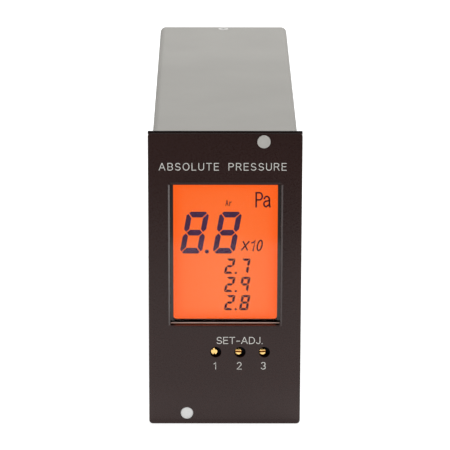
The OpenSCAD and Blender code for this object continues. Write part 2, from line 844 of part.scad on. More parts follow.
// Sprung clips that hold the fuse's end caps off the board
module fuse_clips() {
  color("#c8b98a") for (side = [-1, 1])
    translate([board_face - fuse_lift, fuse_y + side * (fuse_l - fuse_cap_l) / 2, supply_z])
      difference() {
        union() {
          rod(fuse_r + thread_gap + clip_t, -clip_l / 2, clip_l / 2);
          block([0, -clip_l / 2, -fuse_r - clip_t], [fuse_lift, clip_l / 2, fuse_r + clip_t]);
        }
        rod(fuse_r + thread_gap, -clip_l, clip_l);
        block([-fuse_lift, -clip_l, -clip_mouth / 2], [0, clip_l, clip_mouth / 2]);
      }
}

// Sockets at the rear

// Socket outline with round corners and slanted ends, long side upright, wider on the board's side
module socket_outline(h, w, r) {
  rise = w / 2 - r;
  wide = h / 2 - r;
  narrow = wide - 2 * rise * tan(shell_slant);
  side = r - outline_seam;
  nx = side * cos(shell_slant);
  ny = side * sin(shell_slant);
  rotate(90) union() {
    polygon([
      [wide, rise + side], [wide + nx, rise - ny], [narrow + nx, -rise - ny], [narrow, -rise - side],
      [-narrow, -rise - side], [-narrow - nx, -rise - ny], [-wide - nx, rise - ny], [-wide, rise + side]
    ]);
    for (end = [-1, 1]) {
      translate([end * wide, rise]) circle(r);
      translate([end * narrow, -rise]) circle(r);
    }
  }
}

// Pressed shell: flange inside the rear panel, collar standing out through it
module socket_shell(z, flange_h, shell_h, post_pitch) {
  color("#c9c9c4") translate([socket_x, 0, z]) difference() {
    union() {
      slab(socket_flange_w, flange_h, socket_flange_r, socket_flange_front, rear_web_front);
      along(socket_flange_front, shell_end) socket_outline(shell_h, shell_w, shell_r);
    }
    along(socket_flange_front - cut, shell_end + cut)
      socket_outline(shell_h - 2 * shell_t, shell_in_w, shell_in_r);
    for (side = [-1, 1])
      translate([0, 0, side * post_pitch / 2])
        rod(post_stud_r + post_clear, socket_flange_front - cut, rear_web_front + cut);
  }
}

// Insulator that fills the shell and stands on the main board
module socket_insulator(z, shell_h, post_pitch, ways) {
  body_h = post_pitch - 2 * (insulator_side + post_stud_r);
  color("#1d1d1f") translate([socket_x, 0, z]) difference() {
    union() {
      along(insulator_back, insulator_end)
        socket_outline(shell_h - 2 * shell_t - 2 * fit_gap, shell_in_w - 2 * fit_gap, shell_in_r - fit_gap);
      block([-socket_rise, insulator_back, -body_h / 2],
            [shell_w / 2 + insulator_wall, socket_flange_front, body_h / 2]);
    }
    socket_pattern(ways) rod(contact_r + thread_gap, contact_start, insulator_end + cut);
  }
}

// Copies of a contact in two staggered rows
module socket_pattern(ways) {
  long = ceil(ways / 2);
  short = ways - long;
  for (i = [0:long - 1])
    translate([-contact_row / 2, 0, (i - (long - 1) / 2) * contact_pitch]) children();
  for (i = [0:short - 1])
    translate([contact_row / 2, 0, (i - (short - 1) / 2) * contact_pitch]) children();
}

module socket_contacts(z, ways) {
  color("#c9a545") translate([socket_x, 0, z]) socket_pattern(ways) difference() {
    rod(contact_r, contact_start, contact_end);
    rod(contact_bore_r, contact_start + contact_floor, contact_end + cut);
  }
}

// Hexagon posts that hold the shell and take a plug's screws
module jack_posts(z, post_pitch) {
  color("#cfcfca") for (side = [-1, 1])
    translate([socket_x, 0, z + side * post_pitch / 2]) difference() {
      union() {
        translate([0, case_len, 0]) rotate([-90, 0, 0]) cylinder(d = post_w, h = post_len, $fn = 6);
        rod(post_stud_r, post_stud_end, case_len);
      }
      rod(post_hole_r, post_end - post_hole_depth, post_end + cut);
    }
}

module sensor_socket_shell() {
  socket_shell(sensor_z, sensor_flange_h, sensor_shell_h, sensor_post_pitch);
}
module sensor_socket_insulator() {
  socket_insulator(sensor_z, sensor_shell_h, sensor_post_pitch, sensor_ways);
}
module sensor_socket_contacts() { socket_contacts(sensor_z, sensor_ways); }
module sensor_jack_posts() { jack_posts(sensor_z, sensor_post_pitch); }
module signal_socket_shell() {
  socket_shell(signal_z, signal_flange_h, signal_shell_h, signal_post_pitch);
}
module signal_socket_insulator() {
  socket_insulator(signal_z, signal_shell_h, signal_post_pitch, signal_ways);
}
module signal_socket_contacts() { socket_contacts(signal_z, signal_ways); }
module signal_jack_posts() { jack_posts(signal_z, signal_post_pitch); }

// Power terminals

// Moulded block on the power board with barriers between its three terminals
module terminal_block() {
  color("#232426") difference() {
    union() {
      block([board_face - terminal_w, terminal_start, terminal_z - terminal_h / 2],
            [board_face, terminal_floor, terminal_z + terminal_h / 2]);
      for (i = [0:terminal_count])
        translate([0, 0, terminal_z - terminal_h / 2 + i * terminal_pitch])
          block([board_face - terminal_w, terminal_start, 0], [board_face, terminal_end, barrier_t]);
      block([board_face - terminal_wall, terminal_start, terminal_z - terminal_h / 2],
            [board_face, terminal_end - terminal_wall_short, terminal_z + terminal_h / 2]);
    }
    for (i = [1:terminal_count])
      translate([terminal_mid, 0, terminal_at(i)])
        rod(terminal_screw_r + thread_gap, terminal_floor - terminal_screw_len, terminal_floor + cut);
  }
}

module terminal_plates() {
  color("#c8b98a") for (i = [1:terminal_count])
    translate([terminal_mid, 0, terminal_at(i)]) difference() {
      along(terminal_floor, terminal_floor + terminal_plate_t) square(terminal_plate_w, center = true);
      rod(terminal_screw_r + fit_gap, terminal_floor - cut, terminal_floor + terminal_plate_t + cut);
    }
}

module terminal_screws() {
  slot_w = 0.8;
  slot_depth = 1;
  head_front = terminal_floor + terminal_plate_t;
  color("#cfcfca") for (i = [1:terminal_count])
    translate([terminal_mid, 0, terminal_at(i)]) difference() {
      union() {
        rod(terminal_screw_r, terminal_floor + fit_gap - terminal_screw_len, head_front);
        rod(terminal_head_r, head_front, head_front + terminal_head_t);
      }
      block([-slot_w / 2, head_front + terminal_head_t - slot_depth, -terminal_head_r - cut],
            [slot_w / 2, head_front + terminal_head_t + cut, terminal_head_r + cut]);
    }
}

front_panel();
front_frame();
front_pin_upper();
front_pin_lower();
window_pane();
lcd_holder();
lcd_glass();
backlight_block();
backlight_leds();
lcd_contact_strips();
display_board();
display_board_screws();
trimmer_body_1();
trimmer_body_2();
trimmer_body_3();
trimmer_screw_1();
trimmer_screw_2();
trimmer_screw_3();
case_sleeve();
case_screws();
rear_panel();
main_board();
power_board();
main_link();
power_link();
processor_chip();
amplifier_chips();
relay_1();
relay_2();
relay_3();
transformer_core();
transformer_coil();
rectifier();
smoothing_capacitors();
regulator();
regulator_heatsink();
fuse();
fuse_clips();
sensor_socket_shell();
sensor_socket_insulator();
sensor_socket_contacts();
sensor_jack_posts();
signal_socket_shell();
signal_socket_insulator();
signal_socket_contacts();
signal_jack_posts();
terminal_block();
terminal_plates();
terminal_screws();
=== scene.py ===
import math

import bmesh
import bpy
from mathutils import Matrix, Vector


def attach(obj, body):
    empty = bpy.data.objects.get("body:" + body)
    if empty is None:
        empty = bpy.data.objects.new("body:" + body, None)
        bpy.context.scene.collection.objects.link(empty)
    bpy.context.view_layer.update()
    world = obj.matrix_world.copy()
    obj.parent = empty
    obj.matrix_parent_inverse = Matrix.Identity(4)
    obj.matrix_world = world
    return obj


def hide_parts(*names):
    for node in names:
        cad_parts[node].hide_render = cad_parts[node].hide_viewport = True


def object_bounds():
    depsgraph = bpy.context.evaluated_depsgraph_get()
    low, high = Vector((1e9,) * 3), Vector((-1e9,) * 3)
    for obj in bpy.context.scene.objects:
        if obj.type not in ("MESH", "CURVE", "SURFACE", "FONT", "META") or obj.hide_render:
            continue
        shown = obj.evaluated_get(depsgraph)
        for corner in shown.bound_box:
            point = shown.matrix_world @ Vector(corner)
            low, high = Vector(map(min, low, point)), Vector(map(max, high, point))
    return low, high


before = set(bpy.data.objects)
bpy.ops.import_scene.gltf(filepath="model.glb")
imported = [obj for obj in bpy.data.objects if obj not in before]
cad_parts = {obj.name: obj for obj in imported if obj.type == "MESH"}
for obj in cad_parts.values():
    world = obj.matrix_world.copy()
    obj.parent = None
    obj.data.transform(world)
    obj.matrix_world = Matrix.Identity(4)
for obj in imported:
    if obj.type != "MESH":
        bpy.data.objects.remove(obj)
cad_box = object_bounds()

# Viewpoint: a long lens a little above the unit looks down on its upright front,
# so that the top of the case shows behind it.
MM = 0.001
look_at = Vector((0.011, 0, 17.463)) * MM
look_distance = 879.9 * MM
look_down = math.radians(17.203)
look_aside = math.radians(-0.267)
look_tilt = math.radians(0.13)
picture_px = 450
lens_px = 2810.6
towards = Vector((
    math.sin(look_aside) * math.cos(look_down),
    -math.cos(look_aside) * math.cos(look_down),
    math.sin(look_down),
))
camera = bpy.data.objects.new("camera", bpy.data.cameras.new("camera"))
camera.data.sensor_width = 36
camera.data.lens = lens_px / picture_px * camera.data.sensor_width
camera.location = look_at + towards * look_distance
camera.rotation_euler = (
    towards.to_track_quat("Z", "Y").to_matrix() @ Matrix.Rotation(look_tilt, 3, "Z")
).to_euler()
bpy.context.scene.collection.objects.link(camera)
bpy.context.scene.camera = camera

# Studio: a pale matt floor under the front's lower edge, a white room that is dimmer low
# down and at its sides, and one soft lamp overhead. Cards that show only in gloss shade
# or brighten the reflections. Sizes are in metres.
bpy.context.scene.view_settings.view_transform = "Standard"
room_low, room_high, room_high_at = 0.5, 0.95, 0.8
room_left, room_right, room_full_at = 0.32, 0.52, 0.6
room = bpy.data.worlds.new("room")
room.use_nodes = True
nodes, links = room.node_tree.nodes, room.node_tree.links
room_place = nodes.new("ShaderNodeTexCoord")
room_axes = nodes.new("ShaderNodeSeparateXYZ")
room_rise = nodes.new("ShaderNodeMapRange")
room_rise.inputs["From Min"].default_value = 0.0
room_rise.inputs["From Max"].default_value = room_high_at
room_rise.inputs["To Min"].default_value = room_low
room_rise.inputs["To Max"].default_value = room_high
room_share = nodes.new("ShaderNodeMapRange")
room_share.inputs["From Min"].default_value = -1.0
room_share.inputs["From Max"].default_value = 1.0
room_side = nodes.new("ShaderNodeValToRGB")
room_side.color_ramp.elements[0].color = (room_left, room_left, room_left, 1)
room_side.color_ramp.elements[1].color = (room_right, room_right, room_right, 1)
room_side.color_ramp.elements.new(room_full_at).color = (1, 1, 1, 1)
room_light = nodes.new("ShaderNodeMath")
room_light.operation = "MULTIPLY"
links.new(room_place.outputs["Generated"], room_axes.inputs["Vector"])
links.new(room_axes.outputs["Z"], room_rise.inputs["Value"])
links.new(room_axes.outputs["X"], room_share.inputs["Value"])
links.new(room_share.outputs["Result"], room_side.inputs["Fac"])
links.new(room_rise.outputs["Result"], room_light.inputs[0])
links.new(room_side.outputs["Color"], room_light.inputs[1])
links.new(room_light.outputs[0], nodes["Background"].inputs["Strength"])
nodes["Background"].inputs["Color"].default_value = (1, 1, 1, 1)
bpy.context.scene.world = room
lamp_size, lamp_power = 0.8, 10.4
lamp_place = (0.15, 0.35, 1.1)
lamp = bpy.data.objects.new("overhead_lamp", bpy.data.lights.new("overhead_lamp", "AREA"))
lamp.data.size = lamp_size
lamp.data.energy = lamp_power
lamp.location = lamp_place
bpy.context.scene.collection.objects.link(lamp)


def flat_sheet(name, corners, tone, glow):
    """Flat four-cornered sheet of the studio, with a plain matt paint that may glow."""
    mesh = bpy.data.meshes.new(name)
    mesh.from_pydata(corners, [], [(0, 1, 2, 3)])
    sheet = bpy.data.objects.new(name, mesh)
    bpy.context.scene.collection.objects.link(sheet)
    paint = bpy.data.materials.new(name + "_paint")
    paint.use_nodes = True
    matt = paint.node_tree.nodes["Principled BSDF"]
    matt.inputs["Base Color"].default_value = (tone, tone, tone, 1)
    matt.inputs["Roughness"].default_value = 0.8
    matt.inputs["Specular IOR Level"].default_value = 0
    matt.inputs["Emission Color"].default_value = (1, 1, 1, 1)
    matt.inputs["Emission Strength"].default_value = glow
    sheet.data.materials.append(paint)
    return sheet


def gloss_card(name, corners, tone, glow, axis, clear_at, full_at, most=1.0):
    """Card that shows only in reflections and fades in along one axis (metres)."""
    card = flat_sheet(name, corners, tone, glow)
    nodes, links = card.data.materials[0].node_tree.nodes, card.data.materials[0].node_tree.links
    matt = nodes["Principled BSDF"]
    clear = nodes.new("ShaderNodeBsdfTransparent")
    place = nodes.new("ShaderNodeTexCoord")
    axes = nodes.new("ShaderNodeSeparateXYZ")
    fade = nodes.new("ShaderNodeMapRange")
    fade.interpolation_type = "SMOOTHSTEP"
    fade.inputs["From Min"].default_value = clear_at
    fade.inputs["From Max"].default_value = full_at
    fade.inputs["To Max"].default_value = most
    mix = nodes.new("ShaderNodeMixShader")
    links.new(place.outputs["Object"], axes.inputs["Vector"])
    links.new(axes.outputs[axis], fade.inputs["Value"])
    links.new(fade.outputs["Result"], mix.inputs["Fac"])
    links.new(clear.outputs["BSDF"], mix.inputs[1])
    links.new(matt.outputs["BSDF"], mix.inputs[2])
    links.new(mix.outputs["Shader"], nodes["Material Output"].inputs["Surface"])
    card.visible_camera = False
    card.visible_diffuse = False
    card.visible_shadow = False


def level(left, right, near, far, height):
    """Corners of a level sheet."""
    return [(left, near, height), (right, near, height), (right, far, height), (left, far, height)]


def upright(half_width, place_y, low, high):
    """Corners of an upright sheet across the view."""
    return [(-half_width, place_y, low), (half_width, place_y, low),
            (half_width, place_y, high), (-half_width, place_y, high)]


floor_z = cad_box[0].z
card_z = floor_z + 1 * MM
floor_reach, room_front, dark = 4, -1.2, 0.02
flat_sheet("floor", level(-floor_reach, floor_reach, -floor_reach, floor_reach, floor_z), tone=0.4, glow=0.82)
gloss_card("front_card", level(-1, 1, room_front, -0.06, card_z), tone=dark, glow=0,
           axis="Y", clear_at=-0.178, full_at=-0.198, most=0.83)
gloss_card("far_card", level(-1, 1, room_front, -0.2, card_z + 1 * MM), tone=dark, glow=0,
           axis="Y", clear_at=-0.22, full_at=-0.32)
gloss_card("front_wall", upright(1, room_front, card_z, 1), tone=dark, glow=0,
           axis="Z", clear_at=1.0, full_at=0.7)
gloss_card("rear_card", upright(0.5, 0.11, 0.05, 0.4), tone=dark, glow=0,
           axis="Z", clear_at=0.05, full_at=0.06)
gloss_card("foot_card", level(-0.3, 0.3, -0.06, -0.004, card_z), tone=0.8, glow=0.95,
           axis="Y", clear_at=-0.045, full_at=-0.012)
for name, side, glow in (("side_card_left", -1, 5), ("side_card_right", 1, 2.6)):
    gloss_card(name, level(side * 0.09, side * 0.5, -0.35, 0.25, card_z), tone=0.9, glow=glow,
               axis="X", clear_at=side * 0.09, full_at=side * 0.14)

# Front panel: one brown moulding in satin plastic with a raised rim round the window,
# three trimmer holes and two stepped pin holes. Its edges are slightly rounded, its walls
# behind the face are glossier and its top is painted near-black as painted shade.


def finish(name, tone, vary=0.08, rough=0.4, rough_vary=0.06, patch=8, grain=0.2, depth=0.006,
           metallic=0.0, stretch=(1, 1, 1), specular=0.5):
    """Finish whose tone and gloss drift over patches, with a fine surface grain (sizes in mm)."""
    material = bpy.data.materials.new(name)
    material.use_nodes = True
    nodes, links = material.node_tree.nodes, material.node_tree.links
    shader = nodes["Principled BSDF"]
    shader.inputs["Metallic"].default_value = metallic
    shader.inputs["Specular IOR Level"].default_value = specular
    place = nodes.new("ShaderNodeTexCoord")
    drawn = nodes.new("ShaderNodeMapping")
    drawn.inputs["Scale"].default_value = stretch
    links.new(place.outputs["Object"], drawn.inputs["Vector"])
    clouds = nodes.new("ShaderNodeTexNoise")
    clouds.inputs["Scale"].default_value = 1 / (patch * MM)
    clouds.inputs["Detail"].default_value = 3
    links.new(place.outputs["Object"], clouds.inputs["Vector"])
    tones = nodes.new("ShaderNodeValToRGB")
    tones.color_ramp.elements[0].position = 0.3
    tones.color_ramp.elements[1].position = 0.7
    tones.color_ramp.elements[0].color = (*(c * (1 - vary) for c in tone), 1)
    tones.color_ramp.elements[1].color = (*(c * (1 + vary) for c in tone), 1)
    links.new(clouds.outputs["Fac"], tones.inputs["Fac"])
    links.new(tones.outputs["Color"], shader.inputs["Base Color"])
    pores = nodes.new("ShaderNodeTexNoise")
    pores.inputs["Scale"].default_value = 1 / (grain * MM)
    pores.inputs["Detail"].default_value = 2
    links.new(drawn.outputs["Vector"], pores.inputs["Vector"])
    gloss = nodes.new("ShaderNodeMapRange")
    gloss.inputs["To Min"].default_value = rough - rough_vary
    gloss.inputs["To Max"].default_value = rough + rough_vary
    links.new(pores.outputs["Fac"], gloss.inputs["Value"])
    links.new(gloss.outputs["Result"], shader.inputs["Roughness"])
    relief = nodes.new("ShaderNodeBump")
    relief.inputs["Strength"].default_value = 1.0
    relief.inputs["Distance"].default_value = depth * MM
    links.new(pores.outputs["Fac"], relief.inputs["Height"])
    links.new(relief.outputs["Normal"], shader.inputs["Normal"])
    return material


def dress(node, material):
    """Gives a CAD node its finish."""
    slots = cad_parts[node].data.materials
    slots.clear()
    slots.append(material)


def smooth_faces(mesh, angle=32):
    """Shades a mesh smooth, with creases where faces meet at more than an angle in degrees."""
    mesh.shade_smooth()
    mesh.set_sharp_from_angle(angle=math.radians(angle))


def add_piece(name, mesh, material, body):
    """Puts a finished mesh into the scene on a body, with its material."""
    mesh.materials.clear()
    mesh.materials.append(material)
    piece = bpy.data.objects.new(name, mesh)
    bpy.context.scene.collection.objects.link(piece)
    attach(piece, body)
    return piece


def settled(piece):
    """Mesh of a piece with its modifiers worked in; the piece itself is removed."""
    graph = bpy.context.evaluated_depsgraph_get()
    mesh = bpy.data.meshes.new_from_object(piece.evaluated_get(graph))
    bpy.data.objects.remove(piece)
    return mesh


def merged_copy(node):
    """Closed copy of a CAD node's loose triangles, with its flat faces made whole."""
    shape = bmesh.new()
    shape.from_mesh(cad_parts[node].data)
    bmesh.ops.remove_doubles(shape, verts=shape.verts, dist=0.001 * MM)
    bmesh.ops.dissolve_limit(
        shape, angle_limit=math.radians(0.5), verts=shape.verts, edges=shape.edges
    )
    mesh = bpy.data.meshes.new(node + "_soft")
    shape.to_mesh(mesh)
    shape.free()
    return mesh


def softened(node, material, body, radius, steps=2):
    """Stands for a CAD node with its sharp edges rounded off."""
    rough = bpy.data.objects.new(node + "_rough", merged_copy(node))
    rough.data.shade_smooth()
    bpy.context.scene.collection.objects.link(rough)
    edge = rough.modifiers.new("edge", "BEVEL")
    edge.width = radius * MM
    edge.segments = steps
    edge.limit_method = "ANGLE"
    edge.angle_limit = math.radians(30)
    edge.use_clamp_overlap = True
    flats = rough.modifiers.new("flats", "WEIGHTED_NORMAL")
    flats.mode = "FACE_AREA"
    flats.weight = 100
    mesh = settled(rough)
    mesh.name = node + "_soft"
    piece = add_piece(node + "_soft", mesh, material, body)
    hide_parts(node)


brown_plastic = finish("brown_plastic", (0.0250, 0.0084, 0.0068), vary=0.05, rough=0.28, rough_vary=0.05,
                       patch=14, grain=0.16, depth=0.0035, specular=0.31)


def drifting(material, label, axis, clean_at, full_at, value):
    """Lets a finish's colour or roughness turn to another value along an axis (places in mm)."""
    nodes, links = material.node_tree.nodes, material.node_tree.links
    socket = nodes["Principled BSDF"].inputs[label]
    axes = nodes.new("ShaderNodeSeparateXYZ")
    share = nodes.new("ShaderNodeMapRange")
    share.inputs["From Min"].default_value = clean_at * MM
    share.inputs["From Max"].default_value = full_at * MM
    mix = nodes.new("ShaderNodeMix")
    # The Mix node has its own sockets for numbers and for colours
    first, second, mixed = (2, 3, 0)
    if label == "Base Color":
        mix.data_type = "RGBA"
        first, second, mixed = (6, 7, 2)
        value = (*value, 1)
    mix.inputs[second].default_value = value
    links.new(nodes["Texture Coordinate"].outputs["Object"], axes.inputs["Vector"])
    links.new(axes.outputs[axis], share.inputs["Value"])
    links.new(share.outputs["Result"], mix.inputs[0])
    links.new(socket.links[0].from_socket, mix.inputs[first])
    links.new(mix.outputs[mixed], socket)


wall_at, wall_rough = -2.75, 0.14
# Painted shade: the top of the panel turns near-black above this height.
top_shade_at, painted_top_shade = 47.8, (0.006, 0.0012, 0.001)
drift_over = 0.1
drifting(brown_plastic, "Roughness", "Y", wall_at, wall_at + drift_over, wall_rough)
drifting(brown_plastic, "Base Color", "Z", top_shade_at, top_shade_at + drift_over, painted_top_shade)
softened("front_panel", brown_plastic, "unit", radius=0.12, steps=3)

# Front frame: black moulding behind the panel. Its flange seats on the instrument panel,
# its spigot slides into the sleeve and its bosses carry the display board.
black_plastic = finish("black_plastic", (0.0085, 0.008, 0.0078), vary=0.1, rough=0.45, grain=0.2,
                       depth=0.006, specular=0.3)
dress("front_frame", black_plastic)

# Front pins: grey moulded pins with flat bevelled heads, pressed through the panel into
# the frame. The upper head stands proud and the lower one is sunk; the lower head gets a
# paler copy of the grey as painted light.
pin_grey = finish("pin_grey", (0.446, 0.433, 0.404), vary=0.04, rough=0.5, patch=2, grain=0.12, depth=0.006)
# Painted light: a paler copy of the pins' grey for the lower head.
pin_grey_lit = finish("pin_grey_lit", (0.82, 0.825, 0.812), vary=0.03, rough=0.5, patch=2, grain=0.12, depth=0.006)
softened("front_pin_upper", pin_grey, "unit", radius=0.08)
softened("front_pin_lower", pin_grey_lit, "unit", radius=0.08)

# Face print: light grey screen-printed words and numerals, a hundredth of a millimetre
# thick, in plain strokes of one width on the face of the panel.
face_y = -2.8
print_t = 0.012
print_stroke = 0.21
print_grey = finish("print_grey", (0.74, 0.73, 0.69), vary=0.06, rough=0.5, patch=1.5, grain=0.08,
                    depth=0.002)


def arc(x, z, rx, rz, start, stop, steps=12):
    """Points along a piece of an ellipse, from one angle to another in degrees."""
    turns = [math.radians(start + (stop - start) * k / steps) for k in range(steps + 1)]
    return [(x + rx * math.cos(turn), z + rz * math.sin(turn)) for turn in turns]


bowl = [(0, 0), (0, 1), *arc(0.30, 0.745, 0.26, 0.255, 90, -90), (0, 0.49)]
round_o = arc(0.37, 0.5, 0.37, 0.5, 90, 450, 28)
# Width of each letter and its strokes, in capital heights
letters = {
    "A": (0.72, [[(0, 0), (0.34, 1), (0.38, 1), (0.72, 0)], [(0.13, 0.33), (0.59, 0.33)]]),
    "B": (0.58, [bowl, [(0.30, 0.49), *arc(0.32, 0.245, 0.26, 0.245, 90, -90), (0, 0)]]),
    "D": (0.64, [[(0, 0), (0, 1), *arc(0.26, 0.5, 0.38, 0.5, 90, -90, 18), (0, 0)]]),
    "E": (0.52, [[(0.52, 1), (0, 1), (0, 0), (0.52, 0)], [(0, 0.52), (0.48, 0.52)]]),
    "J": (0.42, [[(0.42, 1), *arc(0.21, 0.24, 0.21, 0.24, 0, -165)]]),
    "L": (0.48, [[(0, 1), (0, 0), (0.48, 0)]]),
    "O": (0.74, [round_o]),
    "P": (0.56, [bowl]),
    "R": (0.60, [bowl, [(0.34, 0.49), (0.60, 0)]]),
    "S": (0.58, [arc(0.29, 0.745, 0.26, 0.255, 25, 270, 16)
                 + arc(0.29, 0.245, 0.29, 0.245, 90, -155, 16)[1:]]),
    "T": (0.60, [[(0, 1), (0.60, 1)], [(0.30, 1), (0.30, 0)]]),
    "U": (0.60, [[(0, 1), *arc(0.30, 0.30, 0.30, 0.30, 180, 360), (0.60, 1)]]),
    "a": (0.56, [[*arc(0.27, 0.50, 0.24, 0.24, 160, 0), (0.51, 0.12), (0.56, 0)],
                 [(0.51, 0.44), *arc(0.22, 0.20, 0.22, 0.20, 90, 270), (0.51, 0.16)]]),
    "r": (0.52, [[(0, 0), (0, 0.70)], [(0.02, 0.44), (0.16, 0.64), (0.52, 0.70)]]),
    "0": (0.42, [arc(0.21, 0.5, 0.21, 0.5, 90, 450, 24)]),
    "1": (0.26, [[(0, 0.76), (0.13, 0.80), (0.26, 1), (0.26, 0)]]),
    "2": (0.58, [arc(0.29, 0.72, 0.27, 0.28, 165, -35, 14) + [(0, 0), (0.58, 0)]]),
    "3": (0.58, [arc(0.28, 0.745, 0.25, 0.255, 160, -90, 14)
                 + arc(0.29, 0.245, 0.29, 0.245, 90, -160, 14)[1:]]),
    "\u00d7": (0.52, [[(0, 0.06), (0.52, 0.86)], [(0, 0.86), (0.52, 0.06)]]),
    "-": (0.36, [[(0, 0.40), (0.36, 0.40)]]),
    ".": (0.05, [[(0, 0), (0.05, 0)]]),
    " ": (0.55, []),
}


def written(words, left, right, low, high, stroke, wide=1.0, slant=0.0):
    """Strokes of a line of words, spaced to fill a box (sizes in mm)."""
    tall = high - low - stroke
    widths = [letters[c][0] * wide * tall for c in words]
    space = (right - left - stroke - slant * tall - sum(widths)) / max(len(words) - 1, 1)
    strokes, x, z = [], left + stroke / 2, low + stroke / 2
    for c, width in zip(words, widths):
        for line in letters[c][1]:
            strokes.append([(x + (px * wide + slant * pz) * tall, z + pz * tall) for px, pz in line])
        x += width + space
    return strokes


def ribbons(name, strokes, width, back, thick):
    """Flat bands of one width along strokes, mitred at bends, square at ends (sizes in mm)."""
    shape = bmesh.new()
    for line in strokes:
        points = [Vector(p) for p in line]
        ways = [(b - a).normalized() for a, b in zip(points, points[1:])]
        closed = (points[0] - points[-1]).length < 1e-6
        if not closed:
            points[0] -= ways[0] * width / 2
            points[-1] += ways[-1] * width / 2
        sides = []
        for k, point in enumerate(points):
            before, after = ways[max(k - 1, 0)], ways[min(k, len(ways) - 1)]
            if closed and k in (0, len(points) - 1):
                before, after = ways[-1], ways[0]
            bend = before.dot(after)
            normal = Vector((-before.y - after.y, before.x + after.x)) / max(1 + bend, 0.5)
            edges = [point + out * normal for out in (width / 2, -width / 2)]
            sides.append([shape.verts.new((edge.x * MM, back * MM, edge.y * MM)) for edge in edges])
        band = [shape.faces.new((*a, *reversed(b))) for a, b in zip(sides, sides[1:])]
        made = bmesh.ops.extrude_face_region(shape, geom=band)["geom"]
        for v in made:
            if isinstance(v, bmesh.types.BMVert):
                v.co.y -= thick * MM
    bmesh.ops.recalc_face_normals(shape, faces=shape.faces)
    mesh = bpy.data.meshes.new(name)
    shape.to_mesh(mesh)
    shape.free()
    return mesh


numeral_low, numeral_high = -29.6, -27.1
face_strokes = []
# Words, their left, right, lower and upper edges, and how wide their letters are
for words, left, right, low, high, wide in (
    ("ABSOLUTE PRESSURE", -20.6, 19.07, 36.02, 38.43, 1.15),
    ("SET-ADJ.", -2.58, 11.97, -21.04, -18.71, 1.22),
    ("1", -3.55, -2.62, numeral_low, numeral_high, 1.0),
    ("2", 3.83, 5.58, numeral_low, numeral_high, 1.0),
    ("3", 11.47, 13.38, numeral_low, numeral_high, 1.0),
):
    face_strokes += written(words, left, right, low, high, print_stroke, wide)
face_print = ribbons("face_print", face_strokes, print_stroke, face_y, print_t)
add_piece("face_print", face_print, print_grey, "unit")

# Window pane: a clear acrylic sheet behind the window opening, with a glossy dark border
# printed down both sides and a thin bead of clear cement along its foot, shown in an opaque
# pale pink as a painted highlight.
pane_front = -0.8
window_w, window_h, window_x, window_z = 34.5, 46.2, 0.15, 8.4
window_low, window_high = window_z - window_h / 2, window_z + window_h / 2
border_w, border_t = 0.9, 0.01
bead_out, bead_rise, bead_steps = 0.28, 0.252, 4
clear_acrylic = finish("clear_acrylic", (1, 1, 1), vary=0.0, rough=0.03, rough_vary=0.015, patch=20,
                       grain=2, depth=0)
clear_shader = clear_acrylic.node_tree.nodes["Principled BSDF"]
clear_shader.inputs["Transmission Weight"].default_value = 1
clear_shader.inputs["IOR"].default_value = 1.23
dress("window_pane", clear_acrylic)


def plates(name, outlines, back, thick):
    """Thin flat plates with the given outlines in X and Z (sizes in mm)."""
    shape = bmesh.new()
    for outline in outlines:
        rear = shape.faces.new([shape.verts.new((x * MM, back * MM, z * MM)) for x, z in outline])
        made = bmesh.ops.extrude_face_region(shape, geom=[rear])["geom"]
        for v in made:
            if isinstance(v, bmesh.types.BMVert):
                v.co.y -= thick * MM
    bmesh.ops.recalc_face_normals(shape, faces=shape.faces)
    mesh = bpy.data.meshes.new(name)
    shape.to_mesh(mesh)
    shape.free()
    return mesh


border_low = window_low + border_w
border_outlines = []
for side in (-1, 1):
    outer = window_x + side * window_w / 2
    inner = outer - side * border_w
    border_outlines.append([
        (outer, border_low), (inner, border_low), (inner, window_high), (outer, window_high),
    ])
border_print = finish("border_print", (0.036, 0.032, 0.030), vary=0.06, rough=0.05, rough_vary=0.02,
                      patch=6, grain=1, depth=0, specular=0.4)
window_border = plates("window_border", border_outlines, pane_front, border_t)
add_piece("window_border", window_border, border_print, "unit")

bead_section = [(0.0, 0.0)]
for k in range(bead_steps + 1):
    turn = math.radians(90 * k / bead_steps)
    bead_section.append((bead_rise * (1 - math.cos(turn)), bead_out * (1 - math.sin(turn))))
bead = bmesh.new()
bead_ends = []
for side in (-1, 1):
    end_x = window_x + side * window_w / 2
    bead_ends.append([
        bead.verts.new((end_x * MM, (pane_front - out) * MM, (window_low + rise) * MM))
        for rise, out in bead_section
    ])
for end in bead_ends:
    bead.faces.new(end)
for k in range(len(bead_section)):
    after = (k + 1) % len(bead_section)
    bead.faces.new((bead_ends[0][k], bead_ends[0][after], bead_ends[1][after], bead_ends[1][k]))
bmesh.ops.recalc_face_normals(bead, faces=bead.faces)
bead_mesh = bpy.data.meshes.new("window_bead")
bead.to_mesh(bead_mesh)
bead.free()
smooth_faces(bead_mesh, 40)
# Painted highlight: the bead's opaque pale pink stands for light caught along the window's foot.
bead_highlight = finish("bead_highlight", (0.87, 0.62, 0.53), vary=0.1, rough=0.2, patch=3, grain=0.3, depth=0.004)
add_piece("window_bead", bead_mesh, bead_highlight, "unit")

# Display holder: black moulded tray whose lip is the dark border round the lit area.
# It carries the glass and is held between the frame and the display board. Its lip turns
# near-black towards the window's foot as painted shade.
holder_black = finish("holder_black", (0.088, 0.080, 0.078), vary=0.06, rough=0.5, patch=6, grain=0.2,
                      depth=0.004, specular=0.2)
# Painted shade: the lip darkens to near-black towards the foot of the window.
lip_shade_from, lip_shade_full, painted_lip_shade = window_low + 1.5, window_low + 0.8, (0.006, 0.004, 0.004)
drifting(holder_black, "Base Color", "Z", lip_shade_from, lip_shade_full, painted_lip_shade)
dress("lcd_holder", holder_black)

